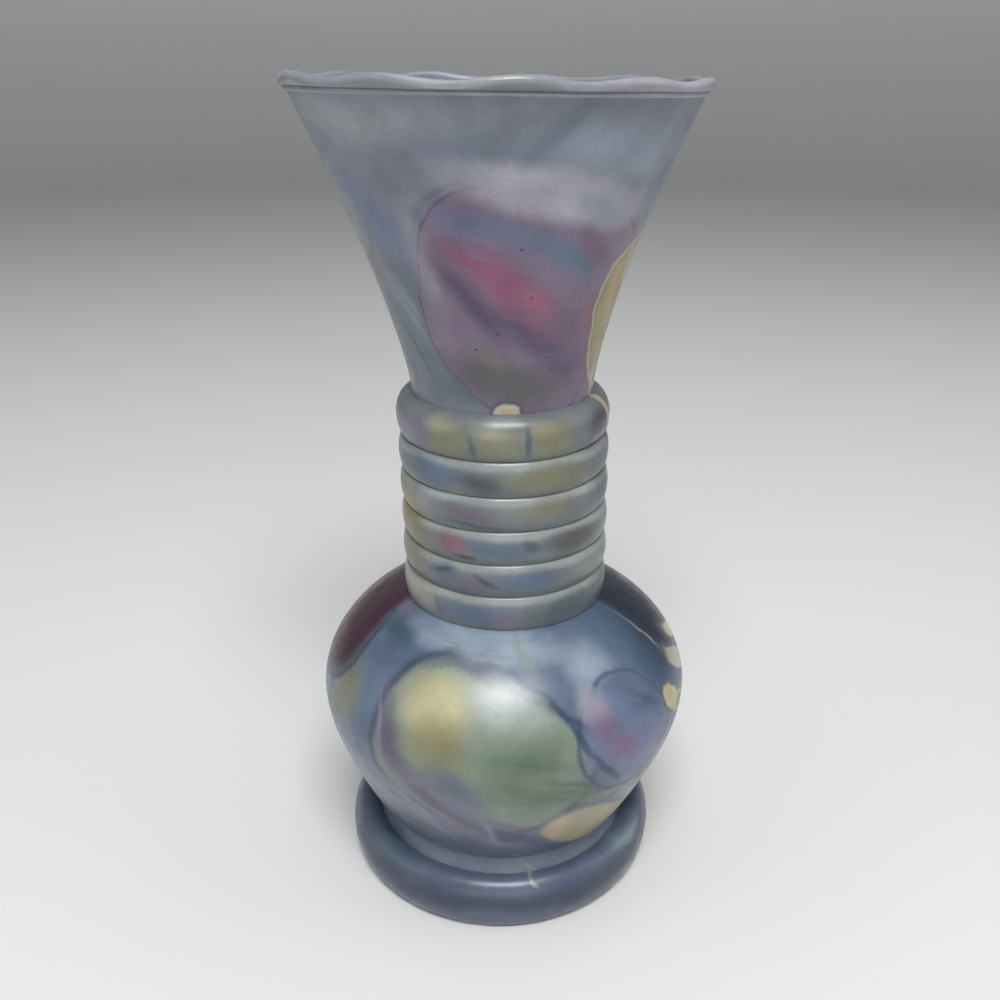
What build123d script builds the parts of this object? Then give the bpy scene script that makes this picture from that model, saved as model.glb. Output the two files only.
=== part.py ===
from build123d import *
from math import acos, cos, degrees, pi, radians, sin, tan
import os

# Hand-blown art glass vase: a squat bowl on an applied foot, a ringed neck and a flared trumpet
# with a ruffled lip. It stands on the XY plane with its axis on +Z and the origin at the centre
# of its standing ring. Each piece is one gather of glass, and lies face to face against the
# gathers it was fused to while hot:
#
#   foot_disc     pad pressed on under the bowl, domed beneath, with a ground pontil mark
#   foot_roll     edge folded round the pad, the only glass that touches the table
#   bowl          blown bubble with a thick bottom
#   neck_tube     blown tube that the trails are wound on
#   neck_ring_N   trails wound round the tube, numbered from the bowl up
#   neck_collar   heavier trail over the seal between the tube and the trumpet
#   trumpet       funnel blown and flared
#   lip_thread    fine thread laid round the trumpet's top edge
#   lip_wrap      rounded lip, ruffled while hot

# ---- Driving dimensions: millimetres, and degrees where the name says angle ----

# Foot
foot_radius = 42.2  # widest point of the folded edge
foot_height = 14.0  # table to the top of the folded edge
foot_roll_width = 7.6  # radial width of the folded edge
foot_widest_height = 6.8  # table to the folded edge's widest point
crown_inset = 4.4  # widest point in to the highest point
standing_ring_inset = 3.0  # widest point in to the flat standing ring
standing_ring_width = 3.0  # flat ring that carries the vase
seat_height = 13.0  # table to the bowl's seat on the pad
seat_margin = 3.6  # pad's edge in to the bowl's seat
channel_depth = 0.7  # dip of the pad's top outside the seat
pad_clearance = 1.4  # table to the pad's underside at its edge
kick_height = 3.2  # rise of the domed underside
pontil_radius = 8.0  # ground-out mark under the pad
pontil_depth = 1.1

# Bowl
bowl_radius = 48.1
bowl_height = 66.5  # seat to the top of the shoulder
bowl_widest_height = 40.4  # seat to the widest point
flank_drop = 19.1  # widest point down to a point part of the way down the flank
flank_inset = 5.1  # widest point in to that point
bowl_seat_angle = 40.0  # lean of the wall at the seat, from vertical
bowl_wall = 2.8
bowl_bottom = 5.0

# Neck
tube_radius = 22.1
tube_wall = 2.3
ring_count = 5
ring_pitch = 8.63
ring_thickness = 4.0  # tube to a ring's crest
groove_thickness = 2.5  # tube to the groove between two rings
first_ring_spread = 0.8  # extra width of the first ring where it lies on the bowl
collar_height = 10.4
collar_thickness = 4.1  # tube to the collar's crest
collar_crest_height = 4.9  # collar's lower edge to its widest point
tube_above_rings = 4.5  # how far the tube reaches up inside the collar

# Trumpet
trumpet_height = 67.1  # top of the collar to the lip
trumpet_wall = 2.2
trumpet_radius = 45.1  # outside radius under the lip
trumpet_throat_height = 19.0  # top of the collar to where the wall leans steadily
trumpet_throat_flare = 3.8  # how much wider than the tube it is there
trumpet_base_angle = 3.0  # lean of the wall at the collar, from vertical
trumpet_top_angle = 25.0  # lean of the wall at the lip, from vertical

# Lip
thread_section_radius = 0.6  # half-round section
rim_band = 2.4  # straight stretch of wall under the lip, which carries the thread
lip_rise = 1.2  # trumpet's top edge to the mean height of the bead's centreline
lip_spread = 0.2  # trumpet's top edge out to the mean radius of that centreline
lip_bead_radius = 1.15  # radius of the bead's own round section
scallop_count = 11
first_scallop_angle = 13.2  # +X round to a crest of the ruffle
ruffle_rise = 0.5  # the centreline waves up and down by this
ruffle_spread = 0.4  # and out and in by this
path_spans = 4  # spans of the curve that each scallop of the centreline is drawn with

# ---- Levels and radii that follow from them ----

pad_radius = foot_radius - foot_roll_width
bowl_seat_radius = pad_radius - seat_margin
channel_height = seat_height - channel_depth
ring_crest_radius = tube_radius + ring_thickness
ring_groove_radius = tube_radius + groove_thickness
shoulder_radius = ring_groove_radius + first_ring_spread
collar_crest_radius = tube_radius + collar_thickness
bowl_widest = seat_height + bowl_widest_height
bowl_top = seat_height + bowl_height
collar_base = bowl_top + ring_count * ring_pitch
tube_top = collar_base + tube_above_rings
collar_top = collar_base + collar_height
trumpet_top = collar_top + trumpet_height

os.makedirs("parts", exist_ok=True)


def write(piece, name):
    """Labels a finished piece and writes it to its own file."""
    piece.label = name
    export_step(piece, f"parts/{name}.step")


# ---- Foot ----

with BuildPart() as foot_disc:
    dome_top = pad_clearance + kick_height
    with BuildSketch(Plane.XZ):
        with BuildLine():
            TangentArc((0, dome_top), (pad_radius, pad_clearance), tangent=(1, 0))
            Polyline(
                (pad_radius, pad_clearance),
                (pad_radius, channel_height),
                (bowl_seat_radius, seat_height),
                (0, seat_height),
                (0, dome_top),
            )
        make_face()
    revolve(axis=Axis.Z)
    # The pontil mark is ground out with the edge of a round wheel.
    wheel_radius = (pontil_radius**2 + pontil_depth**2) / (2 * pontil_depth)
    with Locations((0, 0, dome_top + pontil_depth - wheel_radius)):
        Sphere(wheel_radius, mode=Mode.SUBTRACT)
write(foot_disc.part, "foot_disc")

with BuildPart() as foot_roll:
    crown_radius = foot_radius - crown_inset
    stand_outer = foot_radius - standing_ring_inset
    stand_inner = stand_outer - standing_ring_width
    with BuildSketch(Plane.XZ):
        with BuildLine():
            EllipticalCenterArc(
                (crown_radius, foot_widest_height),
                crown_inset,
                foot_height - foot_widest_height,
                start_angle=0,
                arc_size=90,
            )
            TangentArc((crown_radius, foot_height), (pad_radius, channel_height), tangent=(-1, 0))
            Polyline(
                (pad_radius, channel_height),
                (pad_radius, pad_clearance),
                (stand_inner, 0),
                (stand_outer, 0),
            )
            EllipticalCenterArc(
                (stand_outer, foot_widest_height),
                standing_ring_inset,
                foot_widest_height,
                start_angle=270,
                arc_size=90,
            )
        make_face()
    revolve(axis=Axis.Z)
write(foot_roll.part, "foot_roll")

# ---- Bowl ----

with BuildPart() as bowl:
    # The shoulder is part of an ellipse that reaches the shoulder radius at the top.
    shoulder_rise = (bowl_top - bowl_widest) / sin(acos(shoulder_radius / bowl_radius))
    tube_bore = tube_radius - tube_wall
    seat_lean = radians(bowl_seat_angle)
    # First the whole outside, then the hollow, a wall's thickness inside it.
    for wall, bottom, mouth_radius, mode in (
        (0, seat_height, shoulder_radius, Mode.ADD),
        (bowl_wall, seat_height + bowl_bottom, tube_bore, Mode.SUBTRACT),
    ):
        widest_radius = bowl_radius - wall
        rise = shoulder_rise - wall
        mouth_angle = acos(mouth_radius / widest_radius)
        mouth_height = bowl_widest + rise * sin(mouth_angle)
        bottom_radius = bowl_seat_radius + (bottom - seat_height) * sin(seat_lean) - wall * cos(seat_lean)
        with BuildSketch(Plane.XZ):
            with BuildLine():
                Line((0, bottom), (bottom_radius, bottom))
                Spline(
                    (bottom_radius, bottom),
                    (widest_radius - flank_inset, bowl_widest - flank_drop),
                    (widest_radius, bowl_widest),
                    tangents=((sin(seat_lean), cos(seat_lean)), (0, 1)),
                )
                EllipticalCenterArc(
                    (0, bowl_widest), widest_radius, rise, start_angle=0, arc_size=degrees(mouth_angle)
                )
                if mode is Mode.SUBTRACT:
                    Line((mouth_radius, mouth_height), (mouth_radius, bowl_top))
                Polyline((mouth_radius, bowl_top), (0, bowl_top), (0, bottom))
            make_face()
        revolve(axis=Axis.Z, mode=mode)
write(bowl.part, "bowl")

# ---- Neck ----

with BuildPart() as neck_tube:
    with BuildSketch(Plane.XY.offset(bowl_top)):
        Circle(tube_radius)
        Circle(tube_bore, mode=Mode.SUBTRACT)
    extrude(amount=tube_top - bowl_top)
write(neck_tube.part, "neck_tube")

for number in range(1, ring_count + 1):
    ring_base = bowl_top + (number - 1) * ring_pitch
    ring_top = ring_base + ring_pitch
    # The first ring spreads a little where it lies on the bowl's shoulder.
    base_radius = shoulder_radius if number == 1 else ring_groove_radius
    with BuildPart() as neck_ring:
        with BuildSketch(Plane.XZ):
            with BuildLine():
                ThreePointArc(
                    (base_radius, ring_base),
                    (ring_crest_radius, (ring_base + ring_top) / 2),
                    (ring_groove_radius, ring_top),
                )
                Polyline(
                    (ring_groove_radius, ring_top),
                    (tube_radius, ring_top),
                    (tube_radius, ring_base),
                    (base_radius, ring_base),
                )
            make_face()
        revolve(axis=Axis.Z)
    write(neck_ring.part, f"neck_ring_{number}")

with BuildPart() as neck_collar:
    crest_height = collar_base + collar_crest_height
    with BuildSketch(Plane.XZ):
        with BuildLine():
            TangentArc(
                (collar_crest_radius, crest_height), (ring_groove_radius, collar_base), tangent=(0, -1)
            )
            EllipticalCenterArc(
                (tube_radius, crest_height),
                collar_crest_radius - tube_radius,
                collar_top - crest_height,
                start_angle=0,
                arc_size=90,
            )
            Polyline(
                (tube_radius, collar_top),
                (tube_radius, collar_base),
                (ring_groove_radius, collar_base),
            )
        make_face()
    revolve(axis=Axis.Z)
write(neck_collar.part, "neck_collar")

# ---- Trumpet ----

with BuildPart() as trumpet:
    base_lean = radians(trumpet_base_angle)
    top_lean = radians(trumpet_top_angle)
    # First the whole outside, then the hollow, a wall's thickness inside it.
    for wall, mode in ((0, Mode.ADD), (trumpet_wall, Mode.SUBTRACT)):
        with BuildSketch(Plane.XZ):
            with BuildLine():
                edge_radius = trumpet_radius - wall / cos(top_lean)
                flare = Spline(
                    (tube_radius - wall, collar_top),
                    (tube_radius + trumpet_throat_flare - wall, collar_top + trumpet_throat_height),
                    (edge_radius - rim_band * tan(top_lean), trumpet_top - rim_band),
                    tangents=((sin(base_lean), cos(base_lean)), (sin(top_lean), cos(top_lean))),
                )
                Polyline(
                    flare @ 1,
                    (edge_radius, trumpet_top),
                    (0, trumpet_top),
                    (0, tube_top),
                    (tube_radius - wall, tube_top),
                    flare @ 0,
                )
            make_face()
        revolve(axis=Axis.Z, mode=mode)
write(trumpet.part, "trumpet")

# ---- Lip ----

with BuildPart() as lip_thread:
    # A half-round on the straight stretch of the trumpet's wall, just under its top edge.
    thread_height = trumpet_top - thread_section_radius
    thread_radius = trumpet_radius - thread_section_radius * tan(top_lean)
    half_chord = Vector(sin(top_lean), cos(top_lean)) * thread_section_radius
    thread_low = Vector(thread_radius, thread_height) - half_chord
    thread_high = Vector(thread_radius, thread_height) + half_chord
    with BuildSketch(Plane.XZ):
        with BuildLine():
            Line(thread_low, thread_high)
            RadiusArc(thread_low, thread_high, -thread_section_radius)
        make_face()
    revolve(axis=Axis.Z)
write(lip_thread.part, "lip_thread")

with BuildPart() as lip_scallop:
    # One scallop of the bead, from one trough to the next, with its share of the wall beneath.
    bead_radius = trumpet_radius + lip_spread
    bead_height = trumpet_top + lip_rise
    rim_bore = trumpet_radius - trumpet_wall / cos(top_lean)
    half_turn = pi / scallop_count
    path_points = []
    for step in range(path_spans + 1):
        turn = half_turn * (2 * step / path_spans - 1)
        wave = cos(scallop_count * turn)
        reach = bead_radius + ruffle_spread * wave
        path_points.append((reach * cos(turn), reach * sin(turn), bead_height + ruffle_rise * wave))
    with BuildLine() as bead_path:
        Spline(
            *path_points,
            tangents=((sin(half_turn), cos(half_turn), 0), (-sin(half_turn), cos(half_turn), 0)),
        )
    with BuildSketch(Plane(origin=bead_path.line @ 0, z_dir=bead_path.line % 0)):
        Circle(lip_bead_radius)
    sweep(path=bead_path.line)
    # The wall tapers up from the trumpet's edge into the middle of the bead.
    with BuildSketch(Plane.XZ.rotated((0, 0, -degrees(half_turn)))):
        with BuildLine():
            Polyline(
                (rim_bore, trumpet_top),
                (trumpet_radius, trumpet_top),
                (bead_radius, bead_height),
                close=True,
            )
        make_face()
    revolve(axis=Axis.Z, revolution_arc=2 * degrees(half_turn))
    split(bisect_by=Plane.XY.offset(trumpet_top), keep=Keep.TOP)

with BuildPart() as lip_wrap:
    with PolarLocations(0, scallop_count, start_angle=first_scallop_angle):
        add(lip_scallop.part)
write(lip_wrap.part, "lip_wrap")
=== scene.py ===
import math

import bpy
import numpy as np
from mathutils import Matrix, Vector


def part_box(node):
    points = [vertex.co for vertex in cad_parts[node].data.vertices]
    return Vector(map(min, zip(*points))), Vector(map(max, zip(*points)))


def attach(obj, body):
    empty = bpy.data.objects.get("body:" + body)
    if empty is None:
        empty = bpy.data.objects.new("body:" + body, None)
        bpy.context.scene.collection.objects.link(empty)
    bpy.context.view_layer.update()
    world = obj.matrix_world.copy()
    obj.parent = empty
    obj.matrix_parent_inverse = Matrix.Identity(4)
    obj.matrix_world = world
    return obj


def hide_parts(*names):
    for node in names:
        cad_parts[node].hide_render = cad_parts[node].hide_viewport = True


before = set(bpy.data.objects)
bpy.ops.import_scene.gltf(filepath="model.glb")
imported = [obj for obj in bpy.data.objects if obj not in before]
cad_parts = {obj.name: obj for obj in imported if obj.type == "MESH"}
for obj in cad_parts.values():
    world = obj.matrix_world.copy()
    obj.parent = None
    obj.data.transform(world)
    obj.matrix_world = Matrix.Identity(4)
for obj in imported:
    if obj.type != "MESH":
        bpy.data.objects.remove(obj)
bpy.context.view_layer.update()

# A hand-blown vase of satin glass, painted with pools of thin lacquer. Lengths are in metres in
# the meshes. Paint is laid out by turn, in degrees round from the front (-Y) towards +X, and by
# height above the table, in millimetres.

MM = 0.001
TURNS = 288  # steps round the axis in every turned piece


# ---- Outlines: (radius, height) points in metres, in order along the section ----


def ellipse_arc(centre, radius, rise, start, end, count=24):
    """Points on an ellipse from one angle to another, in degrees from outwards to up."""
    angles = np.radians(np.linspace(start, end, count))
    return [(centre[0] + radius * math.cos(a), centre[1] + rise * math.sin(a)) for a in angles]


def bend(start, start_lean, start_pull, end, end_lean, end_pull, count=40):
    """Points on a smooth curve whose ends lean outwards from vertical by the given degrees."""
    lean_a, lean_b = math.radians(start_lean), math.radians(end_lean)
    a, d = np.array(start), np.array(end)
    b = a + start_pull * np.array((math.sin(lean_a), math.cos(lean_a)))
    c = d - end_pull * np.array((math.sin(lean_b), math.cos(lean_b)))
    t = np.linspace(0, 1, count)[:, None]
    points = (1 - t) ** 3 * a + 3 * (1 - t) ** 2 * t * b + 3 * (1 - t) * t**2 * c + t**3 * d
    return [tuple(p) for p in points]


def straight(start, end, count=12):
    """Points on a straight line."""
    return [tuple(p) for p in np.linspace(start, end, count)]


def joined(*runs):
    """One list of points from several runs, without the points that two runs share."""
    points = []
    for run in runs:
        for point in run:
            if not points or math.dist(point, points[-1]) > 1e-6:
                points.append(tuple(point))
    return points


# ---- The hand of the maker: one gentle deformation for every piece, so that seals stay shut ----

SWAY = 1.2 * MM  # the axis swings this far to the right at the neck, and back again above
SWAY_HEIGHT = 160 * MM
RIM_TILT = math.radians(0.9)  # the rim is this much lower on its right
NECK_BASE, NECK_TOP, NECK_FADE = 0.080, 0.133, 0.012  # where the trails wander, and its fade
TRUMPET_RISE, FOOT_RISE = 0.070, 0.020
OVAL, THREE_SIDED = 0.0030, 0.0022  # how far the round is from true, as shares of the radius
TRAIL_SWING, TRAIL_RIPPLE = 0.22 * MM, 0.12 * MM


def hand_made(points):
    """Moves points as the real glass wanders from a perfect body of revolution."""
    x, y, z = points[:, 0].copy(), points[:, 1].copy(), points[:, 2].copy()
    turn = np.arctan2(y, x)
    rim = np.clip((z - NECK_TOP) / TRUMPET_RISE, 0, 1) ** 2
    neck = np.clip((z - NECK_BASE) / NECK_FADE, 0, 1) * np.clip((NECK_TOP - z) / NECK_FADE, 0, 1)
    lobes = OVAL * np.sin(2 * turn + z / 0.031 + 0.8) + THREE_SIDED * np.sin(3 * turn - z / 0.019)
    swell = 1 + lobes * np.clip(z / FOOT_RISE, 0, 1)
    points[:, 0] = x * swell + SWAY * np.sin(math.pi * z / SWAY_HEIGHT)
    points[:, 1] = y * swell
    wander = TRAIL_SWING * np.sin(turn + z / 0.0085) + TRAIL_RIPPLE * np.sin(3 * turn + 1.1 + z / 0.006)
    points[:, 2] = z - math.tan(RIM_TILT) * x * rim + neck * wander
    return points


# ---- Mesh making ----


def shown(name, vertices, faces, slots=None, materials=(), sharp=35):
    """Makes a mesh object with smooth shading, sharp only where faces meet at a steep angle."""
    mesh = bpy.data.meshes.new(name)
    mesh.from_pydata([tuple(v) for v in vertices], [], faces)
    for material in materials:
        mesh.materials.append(material)
    if slots is not None:
        mesh.polygons.foreach_set("material_index", slots)
    mesh.validate()
    mesh.shade_smooth()
    mesh.set_sharp_from_angle(angle=math.radians(sharp))
    piece = bpy.data.objects.new(name, mesh)
    bpy.context.scene.collection.objects.link(piece)
    return piece


def turned(name, outline, inside=(), materials=(), shape=None, sharp=35):
    """Turns an outline round the axis. The outline is a loop, or runs from axis to axis, and goes
    round anticlockwise: up the outside and down the inside. Points listed in inside take the
    second material."""
    outline = np.array(outline, float)
    on_axis = outline[:, 0] < 1e-7
    open_ended = bool(on_axis.any())
    rims = [k for k in range(len(outline)) if not on_axis[k]]
    place = {k: n for n, k in enumerate(rims)}
    turns = np.linspace(0, 2 * math.pi, TURNS, endpoint=False)
    radius, height = outline[rims, 0], outline[rims, 1]
    grid_turn, grid_radius = np.meshgrid(turns, radius)
    grid_height = np.repeat(height[:, None], TURNS, axis=1)
    if shape:
        grid_radius, grid_height = shape(grid_turn, grid_radius, grid_height)
    points = np.stack(
        (grid_radius * np.cos(grid_turn), grid_radius * np.sin(grid_turn), grid_height), axis=2
    ).reshape(-1, 3)
    faces, slots = [], []
    for k in range(len(outline) - open_ended):
        after = (k + 1) % len(outline)
        within = int(k in inside)
        for step in range(TURNS):
            turn_on = (step + 1) % TURNS
            if on_axis[k]:
                pole = len(rims) * TURNS + int(k != 0)
                row = place[after] * TURNS
                faces.append((pole, row + turn_on, row + step))
            elif on_axis[after]:
                pole = len(rims) * TURNS + int(after != 0)
                row = place[k] * TURNS
                faces.append((pole, row + step, row + turn_on))
            else:
                low, high = place[k] * TURNS, place[after] * TURNS
                faces.append((low + step, low + turn_on, high + turn_on, high + step))
            slots.append(within)
    if open_ended:
        poles = np.array([(0, 0, outline[0, 1]), (0, 0, outline[-1, 1])])
        points = np.vstack((points, poles))
    return shown(name, hand_made(points), faces, slots, materials, sharp)


def finished(piece, node):
    """Puts a piece in its CAD node's place."""
    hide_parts(node)
    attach(piece, "root")
    return piece


# ---- Paint ----

DEPTH = 0.88  # a paint's own value as a share of the value it shows under the lights


def tint(red, green, blue):
    """Linear colour of a paint that shows these 0 to 255 values under the studio's lights."""
    return tuple((DEPTH * c / 255) ** 2.2 for c in (red, green, blue)) + (1.0,)


def node(tree, kind, inputs=(), **settings):
    """Adds a shader node, sets its settings, and links or sets its inputs by name or number."""
    made = tree.nodes.new(kind)
    for key, value in settings.items():
        setattr(made, key, value)
    for key, value in dict(inputs).items():
        if isinstance(value, bpy.types.NodeSocket):
            tree.links.new(value, made.inputs[key])
        else:
            made.inputs[key].default_value = value
    return made


def math_node(tree, operation, *values):
    return node(tree, "ShaderNodeMath", enumerate(values), operation=operation).outputs[0]


def vector_node(tree, operation, *values):
    """A sum of vectors, or a vector scaled by a plain number."""
    made = node(tree, "ShaderNodeVectorMath", operation=operation)
    for k, value in enumerate(values):
        socket = made.inputs["Scale"] if operation == "SCALE" and k == 1 else made.inputs[k]
        if isinstance(value, bpy.types.NodeSocket):
            tree.links.new(value, socket)
        else:
            socket.default_value = value
    return made.outputs[0]


SLANTS = ("TurnCos", "TurnSin", "TiltCos", "TiltSin")  # a patch's turn and tilt, as the group takes them


def patch_group():
    """Node group that gives the distance from a patch's middle, 1 at its edge. A patch is an
    ellipse, or squarer, laid on the glass and tilted. It works on plain numbers only, which
    keeps a long chain of patches light enough to render."""
    group = bpy.data.node_groups.new("patch", "ShaderNodeTree")
    for name in ("X", "Y", "Z", "Height", "Wide", "Tall", "Square", "Radius") + SLANTS:
        group.interface.new_socket(name, in_out="INPUT", socket_type="NodeSocketFloat")
    group.interface.new_socket("Distance", in_out="OUTPUT", socket_type="NodeSocketFloat")
    given = group.nodes.new("NodeGroupInput").outputs
    result = group.nodes.new("NodeGroupOutput")

    def blend(operation, first, share, second, other):
        left = math_node(group, "MULTIPLY", first, share)
        return math_node(group, operation, left, math_node(group, "MULTIPLY", second, other))

    aside = blend("ADD", given["X"], given["TurnCos"], given["Y"], given["TurnSin"])
    toward = blend("SUBTRACT", given["X"], given["TurnSin"], given["Y"], given["TurnCos"])
    angle = math_node(group, "ARCTAN2", aside, toward)
    round_way = math_node(group, "MULTIPLY", angle, given["Radius"])
    up_way = math_node(group, "SUBTRACT", given["Z"], given["Height"])
    along = blend("ADD", round_way, given["TiltCos"], up_way, given["TiltSin"])
    across = blend("SUBTRACT", up_way, given["TiltCos"], round_way, given["TiltSin"])
    powers = []
    for offset, size in ((along, "Wide"), (across, "Tall")):
        share = math_node(group, "ABSOLUTE", math_node(group, "DIVIDE", offset, given[size]))
        powers.append(math_node(group, "POWER", share, given["Square"]))
    root = math_node(group, "DIVIDE", 1.0, given["Square"])
    distance = math_node(group, "POWER", math_node(group, "ADD", *powers), root)
    group.links.new(distance, result.inputs["Distance"])
    return group


PATCH = patch_group()


BRISTLES = (14 * MM, 1.8 * MM, 12 * MM)  # size of a brush line along it, across it and inwards
LINE_STRENGTH, LINE_RELIEF = 0.75, 0.5  # of the line where a pool dried
LACQUER_INDEX, COAT_WEIGHT, COAT_ROUGHNESS = 1.36, 0.55, 0.27
RELIEF_DEPTH = 0.2 * MM


class Lacquer:
    """One painted glass material, built up coat by coat. radius is the glass's usual radius in
    mm, which turns degrees into distances along it."""

    def __init__(self, name, radius, ground, wander=1.0):
        self.material = bpy.data.materials.new(name)
        self.material.use_nodes = True
        self.tree = self.material.node_tree
        self.tree.nodes.clear()
        self.radius = radius
        tree = self.tree
        self.here = node(tree, "ShaderNodeTexCoord").outputs["Object"]
        self.place = vector_node(tree, "SCALE", self.here, 1000.0)  # in mm
        # Wet edges wander, slowly and then finely.
        bent = self.place
        for scale, reach in ((0.035, 5.0 * wander), (0.16, 1.5 * wander), (0.8, 0.35)):
            ripple = node(
                tree,
                "ShaderNodeTexNoise",
                {"Vector": self.place, "Scale": scale, "Detail": 2.0, "Roughness": 0.5},
            ).outputs["Color"]
            centred = vector_node(tree, "SUBTRACT", ripple, (0.5, 0.5, 0.5))
            bent = vector_node(tree, "ADD", bent, vector_node(tree, "SCALE", centred, 2 * reach))
        self.bent = node(tree, "ShaderNodeSeparateXYZ", {0: bent}).outputs
        self.colour = node(tree, "ShaderNodeRGB").outputs[0]
        self.colour.default_value = tint(*ground)
        self.relief = math_node(tree, "MULTIPLY", self.noise(1.1, 3.0), 0.35)

    def noise(self, scale, detail=2.0, place=None, roughness=0.55):
        settings = {"Scale": scale, "Detail": detail, "Roughness": roughness}
        settings["Vector"] = self.place if place is None else place
        return node(self.tree, "ShaderNodeTexNoise", settings).outputs[0]

    def ramp(self, value, low, high, to_low=0.0, to_high=1.0):
        made = node(
            self.tree,
            "ShaderNodeMapRange",
            {"Value": value, "From Min": low, "From Max": high, "To Min": to_low, "To Max": to_high},
            interpolation_type="SMOOTHSTEP",
        )
        return made.outputs[0]

    def mix(self, amount, colour, blend="MIX"):
        """Lays a colour over what is there."""
        inputs = {0: amount, 6: self.colour, 7: colour}
        made = node(self.tree, "ShaderNodeMix", inputs, data_type="RGBA", blend_type=blend)
        self.colour = made.outputs[2]

    def patch(
        self, colour, turn, height, wide, tall, tilt=0, soft=0.3, strong=1.0, square=2, streak=0,
        edge=None, line=0.45,
    ):
        """A pool of paint. wide and tall are half its size in mm, soft is the share of that
        over which it fades, streak breaks it into brush lines along it, and edge is the colour
        of the line where the pool dried, which is line mm wide."""
        tree = self.tree
        found = node(tree, "ShaderNodeGroup", node_tree=PATCH)
        for axis in "XYZ":
            tree.links.new(self.bent[axis], found.inputs[axis])
        spin, lean = math.radians(turn), math.radians(tilt)
        slants = (math.cos(spin), math.sin(spin), math.cos(lean), math.sin(lean))
        given = {"Height": height, "Wide": wide, "Tall": tall, "Square": square, "Radius": self.radius}
        given.update(zip(SLANTS, slants))
        for key, value in given.items():
            found.inputs[key].default_value = value
        distance = found.outputs["Distance"]
        amount = self.ramp(distance, 1 + soft / 2, max(1 - soft, 0.0), 0.0, strong)
        if streak:
            faced = Matrix.Rotation(spin, 3, "Z") @ Matrix.Rotation(math.radians(90), 3, "X")
            turned_brush = (faced @ Matrix.Rotation(lean, 3, "Z")).to_euler()
            laid = {"Vector": self.here, "Rotation": turned_brush, "Scale": BRISTLES}
            brushed = node(tree, "ShaderNodeMapping", laid, vector_type="TEXTURE").outputs[0]
            lines = self.noise(1.0, 3.0, brushed)
            amount = math_node(tree, "MULTIPLY", amount, self.ramp(lines, 0.35, 0.6, 1 - streak, 1.0))
        if colour is not None:
            self.mix(amount, tint(*colour))
        if edge:
            offset = math_node(tree, "ABSOLUTE", math_node(tree, "SUBTRACT", distance, 1.0))
            offset = math_node(tree, "MULTIPLY", offset, min(wide, tall))
            rim = self.ramp(offset, line, 0.1 * line, 0.0, LINE_STRENGTH)
            self.mix(rim, tint(*edge))
            raised = math_node(tree, "MULTIPLY", rim, LINE_RELIEF)
            self.relief = math_node(tree, "ADD", self.relief, raised)

    def stroke(self, colour, start, end, width, **more):
        """A patch drawn from one (turn, height) to another."""
        around = math.radians(end[0] - start[0]) * self.radius
        up = end[1] - start[1]
        middle = ((start[0] + end[0]) / 2, (start[1] + end[1]) / 2)
        tilt = math.degrees(math.atan2(up, around))
        self.patch(colour, *middle, math.hypot(around, up) / 2, width, tilt=tilt, **more)

    def petal(self, ground, streaks, turn, height, wide, tall, tilt, line):
        """A whole petal with brush streaks of several colours, laid from its top down."""
        self.patch(ground, turn, height, wide, tall, tilt, soft=0.12, square=2.4, edge=line, line=0.9)
        lean, degree = math.radians(tilt), math.radians(1) * self.radius
        for k, colour in enumerate(streaks):
            share = 1 - (2 * k + 1) / len(streaks)
            half = 0.8 * wide * math.sqrt(1 - 0.7 * share**2)
            across = turn - 0.75 * share * tall * math.sin(lean) / degree
            up = height + 0.75 * share * tall * math.cos(lean)
            reach, climb = half * math.cos(lean) / degree, half * math.sin(lean)
            width = 1.3 * tall / len(streaks)
            start, end = (across - reach, up - climb), (across + reach, up + climb)
            self.stroke(colour, start, end, width, soft=0.8, streak=0.4)

    def done(self, rough=0.42, inside=False, bright=1.0):
        """Adds the mottling and grain of satin lacquer, scaled by bright, and the glass under it.
        An inside shows the paint paler, through the glass."""
        tree = self.tree
        cloudy = self.ramp(self.noise(0.09, 4.0), 0.3, 0.7, 0.86 * bright, 1.12 * bright)
        grain = self.ramp(self.noise(2.6, 2.0), 0.3, 0.7, 0.93, 1.07)
        value = math_node(tree, "MULTIPLY", cloudy, grain)
        shade = node(tree, "ShaderNodeCombineXYZ", {0: value, 1: value, 2: value}).outputs[0]
        self.mix(1.0, shade, "MULTIPLY")
        if inside:
            self.mix(0.45, tint(150, 154, 160))
        raised = {"Strength": 0.35, "Distance": RELIEF_DEPTH, "Height": self.relief}
        bump = node(tree, "ShaderNodeBump", raised).outputs[0]
        roughness = self.ramp(self.noise(0.3, 3.0), 0.3, 0.7, rough - 0.05, rough + 0.07)
        shader = node(
            tree,
            "ShaderNodeBsdfPrincipled",
            {
                "Base Color": self.colour,
                "Roughness": roughness,
                "Normal": bump,
                "IOR": LACQUER_INDEX,
                "Coat Weight": COAT_WEIGHT,
                "Coat Roughness": COAT_ROUGHNESS,
            },
        )
        output = node(tree, "ShaderNodeOutputMaterial")
        tree.links.new(shader.outputs[0], output.inputs["Surface"])
        return self.material


# ---- Sizes read from the frame ----


def levels(name):
    """Lowest and highest point of a CAD node, and its widest radius."""
    low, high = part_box(name)
    return low.z, high.z, high.x


pad_base, seat, pad_radius = levels("foot_disc")
_, foot_top, foot_radius = levels("foot_roll")
_, shoulder, bowl_radius = levels("bowl")
_, tube_top, tube_radius = levels("neck_tube")
collar_base, collar_top, collar_radius = levels("neck_collar")
_, trumpet_top, trumpet_radius = levels("trumpet")
RING_NAMES = [f"neck_ring_{number}" for number in range(1, 6)]

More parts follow.
